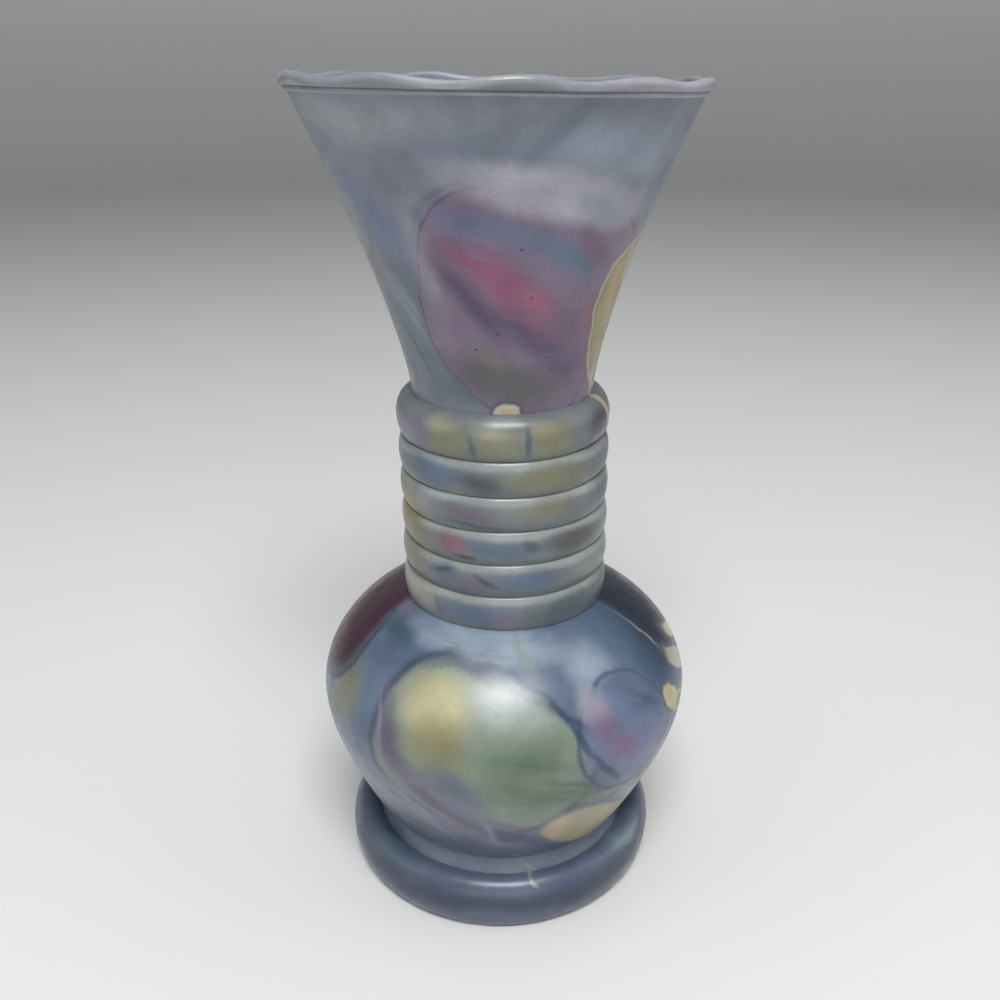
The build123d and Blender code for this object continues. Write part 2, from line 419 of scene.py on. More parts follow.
# Sizes of the sections' shapes, as in the CAD.
CROWN_INSET, FOOT_WIDEST, STAND_INSET, STAND_WIDTH = 4.4 * MM, 6.8 * MM, 3.0 * MM, 3.0 * MM
CHANNEL_DEPTH, SEAT_MARGIN, KICK = 0.7 * MM, 3.6 * MM, 3.2 * MM
PONTIL_RADIUS, PONTIL_DEPTH = 8.0 * MM, 1.1 * MM
BOWL_WIDEST, FLANK_DROP, FLANK_INSET = 40.4 * MM, 19.1 * MM, 5.1 * MM
BOWL_WALL, BOWL_BOTTOM = 2.8 * MM, 5.0 * MM
TUBE_WALL, TRUMPET_WALL, GROOVE, RING, SPREAD = 2.3 * MM, 2.2 * MM, 2.5 * MM, 4.0 * MM, 0.8 * MM
COLLAR_CREST, RIM_BAND, RIM_LEAN = 4.9 * MM, 2.4 * MM, 25.0
THREAD = 0.6 * MM
SCALLOPS, BEAD, RUFFLE_RISE, RUFFLE_SPREAD = 11, 1.15 * MM, 0.5 * MM, 0.4 * MM
FIRST_CREST = math.radians(13.2)

tube_bore = tube_radius - TUBE_WALL
groove_radius = tube_radius + GROOVE
shoulder_radius = groove_radius + SPREAD


def foot_disc_outline():
    """Pad: domed and ground below, flat where the bowl sits, with a dip outside the seal."""
    dome = pad_base + KICK
    dome_curve = (pad_radius**2 + KICK**2) / (2 * KICK)
    wheel = (PONTIL_RADIUS**2 + PONTIL_DEPTH**2) / (2 * PONTIL_DEPTH)
    radii = np.concatenate((np.linspace(0, PONTIL_RADIUS, 12), np.linspace(PONTIL_RADIUS, pad_radius, 16)))
    under = []
    for r in radii:
        domed = dome - dome_curve + math.sqrt(dome_curve**2 - r**2)
        ground = dome + PONTIL_DEPTH - wheel + math.sqrt(wheel**2 - r**2) if r <= PONTIL_RADIUS else 0
        under.append((r, max(domed, ground)))
    side = straight((pad_radius, pad_base), (pad_radius, seat - CHANNEL_DEPTH), 4)
    # The seal swells up round the bowl's base, as soft glass does.
    flank = bowl_side(0, seat, shoulder_radius)[:11]
    swell = bend(side[-1], -50, 1.6 * MM, flank[-1], 40, 2.2 * MM, 12)
    return joined(under, side, swell, flank[::-1], straight(flank[0], (0, seat), 6))


def foot_roll_outline():
    """Folded edge: flat where it stands, round outside, rolling down into the pad's dip."""
    crown = foot_radius - CROWN_INSET
    stand = foot_radius - STAND_INSET
    drop = CHANNEL_DEPTH + foot_top - seat
    reach = crown - pad_radius
    curve = (reach**2 + drop**2) / (2 * drop)
    swing = math.degrees(math.asin(reach / curve))
    return joined(
        straight((stand - STAND_WIDTH, 0), (stand, 0), 5),
        ellipse_arc((stand, FOOT_WIDEST), STAND_INSET, FOOT_WIDEST, 270, 360, 20),
        ellipse_arc((crown, FOOT_WIDEST), CROWN_INSET, foot_top - FOOT_WIDEST, 0, 90, 24),
        ellipse_arc((crown, foot_top - curve), curve, curve, 90, 90 + swing, 10),
        straight((pad_radius, seat - CHANNEL_DEPTH), (pad_radius, pad_base), 5),
    )


def bowl_side(wall, floor, mouth):
    """The bowl's wall from its floor to its mouth, drawn inset from the outside."""
    widest, level = bowl_radius - wall, seat + BOWL_WIDEST
    rise = (shoulder - level) / math.sqrt(1 - (shoulder_radius / bowl_radius) ** 2) - wall
    flank = (widest - FLANK_INSET, level - FLANK_DROP)
    foot = (pad_radius - SEAT_MARGIN - wall * 0.76 + (floor - seat) * 0.68, floor)
    mouth_angle = math.degrees(math.acos(mouth / widest))
    return joined(
        bend(foot, 43, 7.5 * MM, flank, 23, 8.5 * MM, 40),
        bend(flank, 23, 6.5 * MM, (widest, level), 0, 6.5 * MM, 30),
        ellipse_arc((0, level), widest, rise, 0, mouth_angle, 60),
    )


def bowl_outline():
    outside = joined([(0, seat)], bowl_side(0, seat, shoulder_radius))
    hollow = bowl_side(BOWL_WALL, seat + BOWL_BOTTOM, tube_bore)
    top = [(shoulder_radius, shoulder), (tube_bore, shoulder)]
    middle = len(joined(outside, top)) - 1
    outline = joined(outside, top, hollow[::-1], [(0, seat + BOWL_BOTTOM)])
    return outline, range(middle, len(outline))


def ring_outline(base, top, base_radius, top_radius, crest):
    """A trail of glass: a round outside between two grooves, against the tube."""
    middle = (base + top) / 2
    low = ellipse_arc((base_radius, middle), crest - base_radius, middle - base, -90, 0, 16)
    high = ellipse_arc((top_radius, middle), crest - top_radius, top - middle, 0, 90, 16)
    return joined(low, high, straight((top_radius, top), (tube_radius, top), 4), [(tube_radius, base)])


def collar_outline():
    crest = collar_base + COLLAR_CREST
    low = ellipse_arc((groove_radius, crest), collar_radius - groove_radius, COLLAR_CREST, -90, 0, 20)
    high = ellipse_arc((tube_radius, crest), collar_radius - tube_radius, collar_top - crest, 0, 90, 30)
    return joined(low, high, straight((tube_radius, collar_top), (tube_radius, collar_base), 4))


def trumpet_side(wall):
    lean = math.radians(RIM_LEAN)
    edge = trumpet_radius - wall / math.cos(lean)
    knee = (edge - RIM_BAND * math.tan(lean), trumpet_top - RIM_BAND)
    start = (tube_radius - wall, collar_top)
    return joined(
        straight((tube_radius - wall, tube_top), start, 6),
        bend(start, 1, 7 * MM, knee, RIM_LEAN, 36 * MM, 90),
        straight(knee, (edge, trumpet_top), 5),
    )


def trumpet_outline():
    outside, hollow = trumpet_side(0), trumpet_side(TRUMPET_WALL)
    outline = joined(outside, hollow[::-1])
    return outline, range(len(outside) - 1, len(outline))


def thread_outline():
    """A half round against the trumpet's lean, just under the lip."""
    drop = 0.6 * THREAD
    middle = (trumpet_radius - drop * math.tan(math.radians(RIM_LEAN)), trumpet_top - drop)
    return ellipse_arc(middle, THREAD, THREAD, -RIM_LEAN - 90, 90 - RIM_LEAN, 14)


def lip_outline():
    """Lip before it is ruffled: a wall that tapers up into a round bead."""
    bore = trumpet_radius - TRUMPET_WALL / math.cos(math.radians(RIM_LEAN))
    bead = (trumpet_radius + 0.2 * MM, trumpet_top + 1.2 * MM)
    around = ellipse_arc(bead, BEAD, BEAD, -62, 205, 30)
    return joined(
        straight((bore, trumpet_top), (trumpet_radius, trumpet_top), 5),
        straight((trumpet_radius, trumpet_top), around[0], 3),
        around,
        straight(around[-1], (bore, trumpet_top), 8)[:-1],
    )


def ruffle(turn, radius, height):
    """Waves the lip up and out, not quite evenly, and leaves its base where it is."""
    worked = np.clip((height - trumpet_top) / (1.0 * MM), 0, 1)
    drift = 0.10 * np.sin(2 * turn + 0.5) + 0.06 * np.sin(5 * turn)
    uneven = 1 + 0.18 * np.sin(3 * turn + 1.0) + 0.10 * np.sin(4 * turn)
    wave = np.cos(SCALLOPS * (turn - FIRST_CREST) + drift) * uneven
    return radius + RUFFLE_SPREAD * wave * worked, height + RUFFLE_RISE * wave * worked


# ---- Palette ----

STEEL, SLATE, PERIWINKLE = (116, 122, 134), (96, 107, 122), (102, 113, 144)
INDIGO, PALE_BLUE, PALE_GREY = (94, 102, 132), (136, 147, 163), (142, 145, 152)
LILAC, LAVENDER, MAUVE = (170, 167, 180), (122, 122, 140), (116, 102, 124)
VIOLET, PLUM, MAGENTA, ROSE = (82, 68, 98), (112, 88, 114), (132, 74, 106), (146, 86, 108)
YELLOW, OCHRE, ORANGE, CREAM = (184, 179, 142), (148, 137, 92), (180, 146, 98), (176, 173, 152)
PEACH, MILK = (178, 170, 142), (172, 180, 176)
OLIVE, OLIVE_GREY, SAGE = (126, 125, 98), (86, 84, 88), (113, 119, 122)
GREEN, PALE_GREEN, TEAL = (90, 111, 90), (126, 140, 124), (64, 86, 95)
NAVY, PRUSSIAN, MAROON = (12, 26, 48), (50, 74, 98), (58, 16, 40)
BLUE, SKY, INK, BROWN = (88, 105, 128), (140, 156, 170), (52, 62, 82), (98, 78, 72)

ROUND = 1000  # half width, in mm, of a band that goes all round


def trumpet_paint(name, inside=False):
    """A large magenta petal on the front, a yellow one at its right, and steel blue round them."""
    glass = Lacquer(name, 33, STEEL, wander=0.6)
    lay, draw = glass.patch, glass.stroke
    # Washes round the top and down the left.
    lay(PALE_GREY, -40, 195, 18, 5, soft=0.9)
    lay(BLUE, -10, 189, 12, 6, soft=0.9, strong=0.35)
    lay(PALE_BLUE, 42, 190, 17, 6, soft=0.9)
    lay(INDIGO, 78, 185, 15, 12, soft=0.9, streak=0.4)
    draw(SLATE, (25, 200), (4, 186), 2.2, soft=0.9, strong=0.8)
    lay(SLATE, -44, 152, 17, 16, soft=0.8)
    lay(SLATE, -42, 160, 12, 9, tilt=-30, soft=0.9, strong=0.8)
    lay(BROWN, -62, 166, 5, 5, soft=0.9, strong=0.5)
    lay(TEAL, -62, 147, 8, 10, soft=0.9, strong=0.6)
    draw(MILK, (-66, 175), (-22, 139), 3.2, soft=0.8, streak=0.5, strong=0.3)
    draw(PERIWINKLE, (-68, 190), (-36, 168), 5.5, soft=0.7, streak=0.3)
    draw(TEAL, (-60, 158), (-36, 137), 0.9, soft=0.9, strong=0.8)
    lay(SLATE, -22, 137, 12, 3.5, soft=0.9)
    # The petal, streaked from its upper left to its lower right.
    lay(MAUVE, 15, 158.5, 30, 26, tilt=-13, soft=0.1, square=2.7, edge=SLATE, line=0.8)
    lay(None, 15, 158, 28.8, 24.8, tilt=-13, square=2.7, edge=VIOLET, line=0.5)
    draw(LILAC, (-33, 177), (-26, 152), 3.6, soft=0.9, strong=0.4)
    draw(MAUVE, (-32, 160), (-4, 140), 4.0, soft=0.9, strong=0.7)
    draw(INDIGO, (-26, 178), (20, 172), 3.2, soft=0.8, streak=0.3)
    draw(BLUE, (4, 175), (48, 163), 3.6, soft=0.8, streak=0.4)
    draw(PLUM, (28, 174), (52, 164), 3.0, soft=0.8, streak=0.3, strong=0.8)
    draw(VIOLET, (-27, 170), (2, 150), 3.4, soft=0.8, streak=0.3)
    draw(VIOLET, (-10, 158), (44, 146), 5.0, soft=0.8, streak=0.4)
    draw(MAGENTA, (-24, 173), (16, 161), 3.4, soft=0.7, streak=0.4)
    draw(MAGENTA, (-14, 167), (32, 152), 4.6, soft=0.8, streak=0.5)
    draw(PLUM, (6, 161), (50, 150), 4.4, soft=0.8, streak=0.4)
    lay(ROSE, 15, 159.5, 6.5, 2.8, tilt=-20, soft=0.9, strong=0.8)
    lay(ROSE, 48, 154, 3.4, 5.0, tilt=10, soft=0.9)
    draw(MAUVE, (-16, 171), (-2, 168), 0.8, soft=0.9, strong=0.8)
    draw(VIOLET, (16, 145), (60, 141), 4.0, soft=0.9, streak=0.4, strong=0.7)
    lay(PLUM, 54, 141, 6, 8, soft=0.8)
    lay(OLIVE_GREY, 6, 140.5, 21, 6.6, tilt=-8, soft=0.7)
    lay(OLIVE, -6, 147, 7, 2.6, tilt=-25, soft=0.9, strong=0.3)
    draw(LILAC, (-19, 186.5), (58, 177), 5.4, soft=0.55, square=2.4, strong=0.9)
    draw(PALE_BLUE, (22, 181), (50, 176), 3.0, soft=0.9, strong=0.7)
    draw(SLATE, (-30, 178), (-15, 183.4), 0.8, soft=0.9, strong=0.8)
    for turn, height in ((-12, 148), (14, 160), (7, 171), (30, 144), (-2, 152)):
        lay(INK, turn, height, 0.5, 0.4, soft=0.8)
    # The yellow petal, with a brown line where it dried.
    lay(BROWN, 79, 153, 17.6, 18.5, tilt=12, soft=0.15, square=2.8, strong=0.8)
    lay(OCHRE, 80, 153.5, 16.4, 17.4, tilt=12, soft=0.12, square=2.8, edge=CREAM, line=0.9)
    draw(YELLOW, (66, 166), (84, 150), 1.6, soft=0.9, streak=0.4, strong=0.8)
    lay(ORANGE, 62, 158, 2.6, 6.5, tilt=14, soft=0.9)
    lay(OLIVE, 78, 150, 9, 11, soft=0.9, strong=0.4)
    draw(CREAM, (64, 143), (69, 126), 1.4, soft=0.3, square=4.5, edge=OCHRE, line=0.6)
    # A small half round of cream at the foot of the petal.
    lay(CREAM, 5, 133.2, 5.2, 3.4, soft=0.25, square=2.2, edge=INK, line=0.7)
    lay(ORANGE, 5, 134.4, 2.6, 1.3, soft=0.9, strong=0.8)
    # The back.
    draw(SKY, (105, 197), (160, 188), 5, soft=0.9, streak=0.4)
    draw(PERIWINKLE, (-165, 196), (-95, 184), 6, soft=0.9, streak=0.5)
    draw(LAVENDER, (112, 176), (150, 146), 6, soft=0.8, streak=0.5)
    draw(TEAL, (108, 150), (140, 138), 4, soft=0.9, streak=0.4)
    draw(PALE_GREY, (-150, 150), (-90, 176), 5, soft=0.8, streak=0.5)
    draw(SLATE, (-112, 146), (-80, 138), 5, soft=0.9)
    glass.petal(MAUVE, (LILAC, PERIWINKLE, MAGENTA, VIOLET, PLUM, OLIVE_GREY), 178, 160, 28, 24, 16, INK)
    glass.petal(OCHRE, (CREAM, OLIVE, ORANGE, OLIVE), -112, 156, 15, 11, 62, BROWN)
    lay(ROSE, -160, 142, 8, 4, soft=0.9, strong=0.5)
    return glass.done(inside=inside, bright=0.98)


def neck_paint():
    """Short dabs of colour along each trail of the neck, on grey green glass."""
    glass = Lacquer("painted_neck", 26, SAGE, wander=0.35)
    lay, draw = glass.patch, glass.stroke
    # Painted highlight: a pale band all round the upper side of every trail, where the light catches it.
    for height in (87.0, 95.6, 104.2, 112.9, 121.5):
        lay(MILK, 0, height, ROUND, 1.3, soft=0.9, strong=0.55)
    # The collar.
    for turn, wide in ((-28, 6.5), (0, 6.2), (27, 5.8)):
        lay(OLIVE, turn, 127.0, wide, 4.6, soft=0.6, square=3.2, strong=0.8)
        lay(YELLOW, turn - 5, 130.2, 0.7 * wide, 1.8, soft=0.9, strong=0.35)
    lay(LAVENDER, -55, 127, 7, 5, soft=0.8)
    lay(MAUVE, -50, 123.5, 7, 1.0, soft=0.8, strong=0.8)
    lay(TEAL, -14, 126, 0.8, 3.6, tilt=12, soft=0.9, strong=0.7)
    lay(TEAL, 14, 127.4, 0.9, 4, soft=0.7, strong=0.9)
    lay(NAVY, 62, 128, 6, 4, soft=0.8, strong=0.8)
    lay(MAUVE, 58, 124.5, 6, 1.6, soft=0.8)
    draw(CREAM, (66, 137), (80, 122), 1.7, soft=0.3, square=4.5, edge=BROWN, line=0.6)
    # The trails, from the top one down.
    lay(BLUE, -38, 118, 8, 4, soft=0.8)
    lay(NAVY, -10, 117.4, 6.5, 2.8, tilt=-8, soft=0.9, strong=0.6)
    draw(OLIVE, (-2, 118), (52, 118), 3.6, soft=0.6, strong=0.8)
    lay(TEAL, 74, 118, 8, 4, soft=0.8)
    lay(PALE_GREY, -52, 110, 7, 4, soft=0.8)
    draw(PLUM, (-32, 110), (2, 108), 2.0, soft=0.8, strong=0.6)
    draw(TEAL, (-30, 107), (6, 106.4), 0.7, soft=0.8, strong=0.8)
    draw(OLIVE, (4, 110), (44, 111), 2.6, soft=0.8, strong=0.7)
    lay(TEAL, 72, 110, 8, 3.5, soft=0.8)
    lay(OCHRE, -64, 105, 8, 8, soft=0.9, strong=0.9)
    lay(OLIVE, -56, 100, 7, 8, soft=0.9, strong=0.6)
    lay(BLUE, 0, 101, 10, 2.6, soft=0.6, strong=0.8)
    lay(ROSE, -26, 101.0, 4.2, 3.0, soft=0.9, strong=0.7)
    draw(MAROON, (-26, 98.6), (-12, 98.2), 0.7, soft=0.8, strong=0.7)
    lay(TEAL, 17, 101.6, 2.6, 1.6, tilt=-30, soft=0.8, strong=0.9)
    draw(OLIVE_GREY, (22, 101), (64, 101), 3.0, soft=0.7)
    lay(OLIVE, -62, 92, 7, 4, soft=0.8, strong=0.8)
    lay(SLATE, -31, 92.6, 5, 3.4, soft=0.7)
    draw(INK, (-40, 93), (-26, 94.6), 0.8, soft=0.8, strong=0.7)
    lay(MAUVE, -12, 91.2, 5, 1.8, soft=0.8)
    lay(BLUE, 16, 92.4, 9, 2.8, soft=0.7)
    draw(INK, (-14, 94.0), (0, 90.4), 0.8, soft=0.7, strong=0.7)
    lay(PALE_GREEN, 56, 92.4, 7, 3, soft=0.8, strong=0.7)
    lay(CREAM, -56, 84.5, 8, 4, soft=0.9, strong=0.6)
    draw(TEAL, (-40, 86), (-34, 81), 0.8, soft=0.8, strong=0.7)
    lay(BLUE, -14, 83.4, 11, 2.8, soft=0.7)
    lay(MAUVE, 4, 82.6, 6, 1.6, soft=0.9, strong=0.6)
    lay(TEAL, 40, 83.4, 12, 3, soft=0.8, strong=0.8)
    lay(NAVY, 74, 84, 8, 4, soft=0.8, strong=0.8)
    # The sides and back.
    for turn, height, colour in (
        (110, 128, OLIVE), (150, 126, YELLOW), (190, 128, LAVENDER), (230, 127, OLIVE), (120, 118, BLUE),
        (165, 117, PLUM), (215, 118, OLIVE), (100, 109, YELLOW), (145, 110, SKY), (200, 109, TEAL),
        (240, 110, ROSE), (125, 101, NAVY), (175, 101, OLIVE), (225, 101, BLUE), (105, 92, PALE_GREEN),
        (155, 92, BLUE), (205, 92, ROSE), (115, 84, TEAL), (170, 84, CREAM), (225, 84, BLUE),
    ):
        lay(colour, turn, height, 9, 3.6, soft=0.9, strong=0.75)
    return glass.done(bright=0.85)


def bowl_paint():
    """A long yellow and green petal on the front, and streaks of every colour round it."""
    glass = Lacquer("painted_bowl", 45, BLUE, wander=0.7)
    lay, draw = glass.patch, glass.stroke
    # Washes.
    draw(SKY, (-56, 78), (36, 77.5), 2.6, soft=0.7, streak=0.4)
    lay(SKY, 34, 74, 8, 4, soft=0.9)
    lay(LAVENDER, -34, 34, 22, 13, tilt=-20, soft=0.9, streak=0.5)
    lay(SLATE, -10, 22, 30, 9, soft=0.9)
    lay(LAVENDER, -5, 30, 14, 5, tilt=-25, soft=0.9, streak=0.7, strong=0.8)
    lay(OLIVE, -60, 60, 7, 9, soft=0.9, strong=0.8)
    lay(PALE_BLUE, -62, 40, 14, 12, soft=0.9, streak=0.4, strong=0.8)
    lay(MAROON, -92, 72, 24, 13, tilt=-8, soft=0.2, square=2.6, edge=INK, line=0.7)
    draw(PLUM, (-116, 76), (-92, 66), 3.0, soft=0.8, streak=0.6, strong=0.8)
    draw(MAUVE, (-124, 70), (-104, 64), 1.6, soft=0.9, streak=0.5, strong=0.8)
    lay(MAUVE, -60, 78.6, 6, 1.4, soft=0.9, strong=0.8)
    draw(TEAL, (-66, 76), (-40, 75), 2.4, soft=0.8, strong=0.8)
    lay(PRUSSIAN, 68, 69, 15, 13, soft=0.8)
    lay(NAVY, 98, 75, 26, 11, soft=0.25, square=2.4)
    draw(PERIWINKLE, (104, 76), (128, 68), 2.2, soft=0.8, streak=0.6, strong=0.7)
    draw(PALE_GREY, (70, 64), (66, 79), 0.6, soft=0.6, strong=0.8)
    draw(INK, (66, 64), (62, 79), 0.8, soft=0.8, strong=0.6)
    draw(LAVENDER, (40, 50), (84, 34), 5.5, soft=0.8, streak=0.5)
    draw(MILK, (38, 42), (72, 18), 4.2, soft=0.7, streak=0.4, strong=0.9)
    draw(SKY, (52, 40), (86, 22), 2.6, soft=0.7, streak=0.6)
    # The long petal.
    lay(PALE_GREEN, -8, 54.6, 27.5, 19.6, tilt=-16, soft=0.13, square=2.7, edge=INK, line=1.3)
    lay(VIOLET, -36, 57, 5.0, 12, tilt=14, soft=0.9, strong=0.85)
    draw(LAVENDER, (-42, 66), (-37, 48), 0.9, soft=0.8, strong=0.8)
    draw(VIOLET, (-37, 56), (-16, 39), 3.4, soft=0.9, streak=0.3, strong=0.9)
    # A pale patch at the top of the petal: partly its own pale paint and partly a painted highlight where
    # the key light's sheen falls.
    lay(MILK, 0, 69.5, 12, 5.2, tilt=-18, soft=0.9)
    lay(YELLOW, -21, 68, 10.5, 7.0, tilt=8, soft=0.6)
    lay(OLIVE, -19, 58.5, 9.0, 6.5, soft=0.7)
    lay(OCHRE, -18, 63, 7, 4, soft=0.9, strong=0.6)
    lay(GREEN, 6, 58, 11, 8, tilt=-20, soft=0.9)
    draw(TEAL, (-6, 60), (20, 54), 2.4, soft=0.9, streak=0.5, strong=0.35)
    draw(GREEN, (-4, 50), (36, 42), 5.0, soft=0.8, streak=0.3)
    draw(TEAL, (12, 52), (30, 45), 1.0, soft=0.9, strong=0.5)
    draw(OLIVE, (22, 41), (40, 39), 1.5, soft=0.9, strong=0.7)
    lay(SLATE, -13, 47, 11, 6, tilt=-35, soft=0.7)
    draw(LAVENDER, (-36, 50), (6, 29), 7.0, soft=0.7, streak=0.3)
    draw(VIOLET, (-30, 47), (-6, 34), 2.6, soft=0.8, streak=0.4, strong=0.8)
    draw(INDIGO, (-18, 44), (12, 28), 2.6, soft=0.8, streak=0.5)
    draw(MAUVE, (-12, 41), (16, 31), 2.0, soft=0.8, streak=0.4, strong=0.7)
    draw(VIOLET, (-6, 34), (14, 27), 2.4, soft=0.9, streak=0.4, strong=0.8)
    draw(PALE_GREY, (-40, 48), (-14, 24), 2.0, soft=0.8, streak=0.4, strong=0.7)
    draw(PALE_GREY, (-6, 40), (0, 26), 1.4, soft=0.9, strong=0.5)
    draw(SLATE, (-32, 73.4), (-17, 76.2), 0.8, soft=0.9, strong=0.7)
    draw(SLATE, (-19, 76.3), (3, 75.4), 0.8, soft=0.9, strong=0.8)
    draw(INK, (1, 75.6), (15, 70.6), 0.9, soft=0.8, strong=0.7)
    draw(INK, (13, 71.8), (22, 64), 0.9, soft=0.8, strong=0.8)
    lay(PALE_GREEN, 9, 76.4, 3.6, 1.6, tilt=-30, soft=0.8, strong=0.6)
    # The round petal at its right.
    lay(PERIWINKLE, 40, 56.5, 14, 15, tilt=24, soft=0.3, square=2.4, edge=PRUSSIAN, line=0.8)
    draw(LILAC, (24, 69), (35, 65), 4.2, soft=0.8, strong=0.9)
    lay(MAUVE, 32, 61, 5.0, 8, tilt=22, soft=0.9, strong=0.9)
    lay(MAGENTA, 38, 54, 3.6, 4.4, tilt=20, soft=0.9, strong=0.5)
    draw(LAVENDER, (46, 50), (62, 44), 3.5, soft=0.9)
    draw(PRUSSIAN, (38, 71), (64, 56), 5.0, soft=0.8, streak=0.3, strong=0.8)
    draw(BLUE, (56, 64), (60, 48), 4.0, soft=0.9, strong=0.8)
    draw(PRUSSIAN, (19, 67), (25, 55), 1.2, soft=0.6, strong=0.9)
    draw(PRUSSIAN, (24, 57), (37, 43), 1.2, soft=0.6, strong=0.9)
    # Peach below, and cream stripes at the right.
    draw(PEACH, (14, 34.5), (64, 18), 7.8, soft=0.15, square=2.6, edge=SAGE, line=0.8)
    draw(ORANGE, (16, 31), (40, 25), 2.4, soft=0.9, strong=0.25)
    draw(YELLOW, (57, 63), (68, 55), 3.2, soft=0.3, edge=INK, line=0.7)
    lay(ORANGE, 61, 61, 2.0, 2.2, soft=0.9, strong=0.7)
    draw(CREAM, (68, 68), (100, 50), 3.0, soft=0.25, square=4, edge=INK, line=0.6)
    draw(OLIVE, (64, 57), (104, 38), 2.6, soft=0.4, square=4, streak=0.4, edge=CREAM, line=0.6)
    draw(YELLOW, (80, 70), (112, 55), 2.4, soft=0.3, square=4, edge=INK, line=0.6)
    draw(ORANGE, (84, 60), (100, 52), 1.2, soft=0.9, strong=0.6)
    # The back.
    draw(PRUSSIAN, (112, 68), (150, 74), 6, soft=0.8, streak=0.3)
    draw(SKY, (150, 77), (215, 77), 2.6, soft=0.8, streak=0.4)
    draw(LAVENDER, (110, 40), (160, 26), 7, soft=0.8, streak=0.4)
    draw(LAVENDER, (-170, 34), (-100, 24), 7, soft=0.8, streak=0.4)
    draw(PALE_BLUE, (-112, 48), (-80, 36), 5, soft=0.8, streak=0.4)
    glass.petal(PALE_GREEN, (MILK, YELLOW, GREEN, OLIVE, TEAL), 172, 56, 28, 18, 20, INK)
    glass.petal(PERIWINKLE, (LILAC, PLUM, MAGENTA, PRUSSIAN), -132, 58, 15, 12, -58, PRUSSIAN)
    draw(PEACH, (112, 34), (150, 22), 5.5, soft=0.2, square=2.6, edge=SAGE, line=0.8)
    draw(MAGENTA, (-166, 38), (-140, 30), 3.0, soft=0.8, streak=0.4, strong=0.7)
    draw(CREAM, (-152, 76), (-128, 73), 1.8, soft=0.5, edge=INK, line=0.6)
    return glass.done(bright=0.91)


def foot_paint(name, ground):
    """Slate blue, with painted shade round the outside of the roll."""
    glass = Lacquer(name, 40, ground, wander=0.8)
    lay, draw = glass.patch, glass.stroke
    # Painted shade: a dark band all round the roll's outer side, which turns away from the light.
    lay(NAVY, 0, 8.4, ROUND, 3.6, soft=0.9, strong=0.6)
    lay(VIOLET, 0, 2.4, ROUND, 2.0, soft=0.9, strong=0.4)
    # Painted highlight: a light blue streak on the crown of the roll at the right.
    lay(SKY, 62, 13.0, 9, 1.6, soft=0.9, strong=0.7)
    lay(TEAL, -50, 12.6, 12, 2.0, soft=0.9, strong=0.5)
    lay(CREAM, 14, 12.6, 1.4, 0.5, tilt=-30, soft=0.8, strong=0.6)
    lay(LILAC, 120, 12, 10, 2, soft=0.9, strong=0.6)
    lay(OLIVE, -130, 12, 9, 2, soft=0.9, strong=0.5)
    return glass.done(bright=0.93)


def lip_paint():
    """Milky glass with hardly any paint."""
    glass = Lacquer("milky_lip", 45, (132, 135, 142))
    glass.patch(LILAC, 60, 201, 30, 6, soft=0.9, strong=0.6)
    glass.patch(PALE_BLUE, -140, 201, 40, 6, soft=0.9, strong=0.6)
    return glass.done(rough=0.34)


def inner_glass(name, radius, colour):
    """The unpainted inside of a piece, with the paint showing through as faint clouds."""
    glass = Lacquer(name, radius, colour)
    for turn in range(0, 360, 60):
        glass.patch(PALE_GREY, turn, 60 + turn / 5, 0.5 * radius, 18, soft=0.9, strong=0.5)
    return glass.done(rough=0.34, inside=True)


# ---- Pieces ----


def foot():
    # The pad's copy of the foot paint has a paler ground than the roll's: painted light, lifting the shade
    # under the bowl's overhang.
    pale = foot_paint("painted_pad", PALE_BLUE)
    pad = turned("foot_pad_glass", foot_disc_outline(), materials=[pale])
    finished(pad, "foot_disc")
    dark = foot_paint("painted_roll", (88, 99, 120))
    roll = turned("foot_roll_glass", foot_roll_outline(), materials=[dark])
    finished(roll, "foot_roll")


def bowl():
    outline, hollow = bowl_outline()
    materials = [bowl_paint(), inner_glass("inner_bowl", 45, SLATE)]
    finished(turned("bowl_glass", outline, hollow, materials), "bowl")


def neck():
    """The tube, the five trails wound round it, and the collar that seals it to the trumpet."""
    paint = neck_paint()
    outside = straight((tube_radius, shoulder), (tube_radius, tube_top), 4)
    hollow = straight((tube_bore, tube_top), (tube_bore, shoulder), 4)
    materials = [paint, inner_glass("inner_neck", 20, SLATE)]
    tube = turned("neck_tube_glass", outside + hollow, range(4, 8), materials)
    finished(tube, "neck_tube")
    for name in RING_NAMES:
        base, top, _ = levels(name)
        base_radius = shoulder_radius if name == RING_NAMES[0] else groove_radius
        outline = ring_outline(base, top, base_radius, groove_radius, tube_radius + RING)
        finished(turned(name + "_glass", outline, materials=[paint]), name)
    collar = turned("collar_glass", collar_outline(), materials=[paint])
    finished(collar, "neck_collar")


def trumpet():
    outline, hollow = trumpet_outline()
    materials = [trumpet_paint("painted_trumpet"), trumpet_paint("inner_trumpet", inside=True)]
    finished(turned("trumpet_glass", outline, hollow, materials), "trumpet")


def lip():
    paint = lip_paint()
    thread = turned("lip_thread_glass", thread_outline(), materials=[paint])
    finished(thread, "lip_thread")
    wrap = turned("lip_wrap_glass", lip_outline(), materials=[paint], shape=ruffle)
    finished(wrap, "lip_wrap")


for make in (foot, bowl, neck, trumpet, lip):
    make()


# ---- Stage, lights and camera ----

CAMERA_PLACE, CAMERA_PITCH = (0, -234.4 * MM, 203.7 * MM), 23.29  # looking this far down


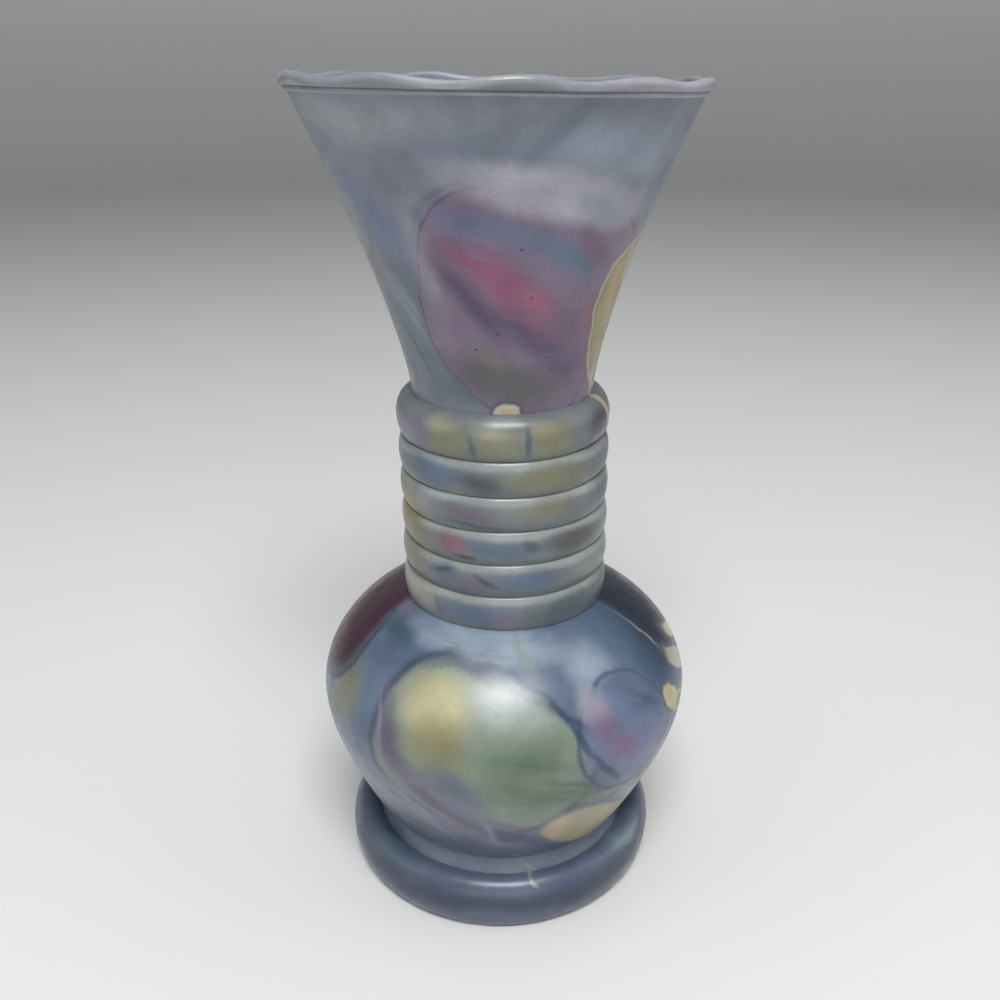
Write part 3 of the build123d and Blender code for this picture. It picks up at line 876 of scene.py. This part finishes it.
def backdrop():
    """A round pale floor that curves up into a plain wall all round."""
    floor, curve, wall, around = 1.9, 0.6, 1.1, 96
    profile = [(0.3, 0.0), (1.0, 0.0)]
    for step in range(13):
        angle = math.radians(90 * step / 12)
        profile.append((floor + curve * math.sin(angle), curve * (1 - math.cos(angle))))
    profile.append((floor + curve, curve + wall))
    vertices = [(0.0, 0.0, 0.0)]
    for radius, z in profile:
        for k in range(around):
            angle = math.tau * k / around
            vertices.append((radius * math.cos(angle), radius * math.sin(angle), z))
    faces = [(0, 1 + k, 1 + (k + 1) % around) for k in range(around)]
    for ring in range(len(profile) - 1):
        low, high = 1 + ring * around, 1 + (ring + 1) * around
        for k in range(around):
            after = (k + 1) % around
            faces.append((low + k, high + k, high + after, low + after))
    material = bpy.data.materials.new("paper_backdrop")
    material.use_nodes = True
    tree = material.node_tree
    shader = tree.nodes["Principled BSDF"]
    shader.inputs["Base Color"].default_value = (0.6, 0.6, 0.595, 1)
    shader.inputs["Roughness"].default_value = 0.85
    # The wall glows a little, so that it stays pale away from the lights.
    place = node(tree, "ShaderNodeTexCoord").outputs["Object"]
    height = node(tree, "ShaderNodeSeparateXYZ", {0: place}).outputs["Z"]
    rising = {"Value": height, "From Max": 0.7, "To Max": 0.12}
    glow = node(tree, "ShaderNodeMapRange", rising, interpolation_type="SMOOTHSTEP")
    tree.links.new(glow.outputs[0], shader.inputs["Emission Strength"])
    shader.inputs["Emission Color"].default_value = (0.97, 0.98, 1.0, 1)
    paper = shown("paper_backdrop", vertices, faces, materials=[material])


def area_light(name, place, aim, size, power, colour=(1, 1, 1)):
    data = bpy.data.lights.new(name, "AREA")
    data.shape = "RECTANGLE"
    data.size, data.size_y = size
    data.energy = power
    data.color = colour
    lamp = bpy.data.objects.new(name, data)
    lamp.location = place
    lamp.rotation_euler = (Vector(aim) - Vector(place)).to_track_quat("-Z", "Y").to_euler()
    bpy.context.scene.collection.objects.link(lamp)


def studio():
    """A soft key light high in front, and weaker ones above and at the sides."""
    middle = (0, 0, 0.1)
    area_light("key_softbox", (0.05, -0.54, 0.98), middle, (0.5, 0.36), 11.0)
    area_light("front_fill", (0, -0.95, 0.22), middle, (1.0, 0.4), 2.6)
    area_light("overhead_softbox", (0, 0.1, 1.1), middle, (0.8, 0.6), 3.5)
    area_light("left_fill", (-1.1, -0.3, 0.5), middle, (0.7, 0.9), 2.2, (0.93, 0.96, 1.0))
    area_light("right_fill", (1.1, -0.1, 0.6), middle, (0.7, 0.9), 2.2, (1.0, 0.98, 0.95))
    world = bpy.data.worlds.new("soft_room")
    bpy.context.scene.world = world
    world.use_nodes = True
    back = world.node_tree.nodes["Background"]
    back.inputs["Color"].default_value = (0.85, 0.88, 0.92, 1)
    back.inputs["Strength"].default_value = 0.22


def camera():
    """Looks down on the vase from just above the height of its lip."""
    data = bpy.data.cameras.new("camera")
    data.lens, data.sensor_width = 36.0, 36.0
    eye = bpy.data.objects.new("camera", data)
    eye.location = CAMERA_PLACE
    eye.rotation_euler = (math.radians(90 - CAMERA_PITCH), 0, 0)
    bpy.context.scene.collection.objects.link(eye)
    bpy.context.scene.camera = eye


backdrop()
studio()
camera()
bpy.context.scene.view_settings.view_transform = "Standard"
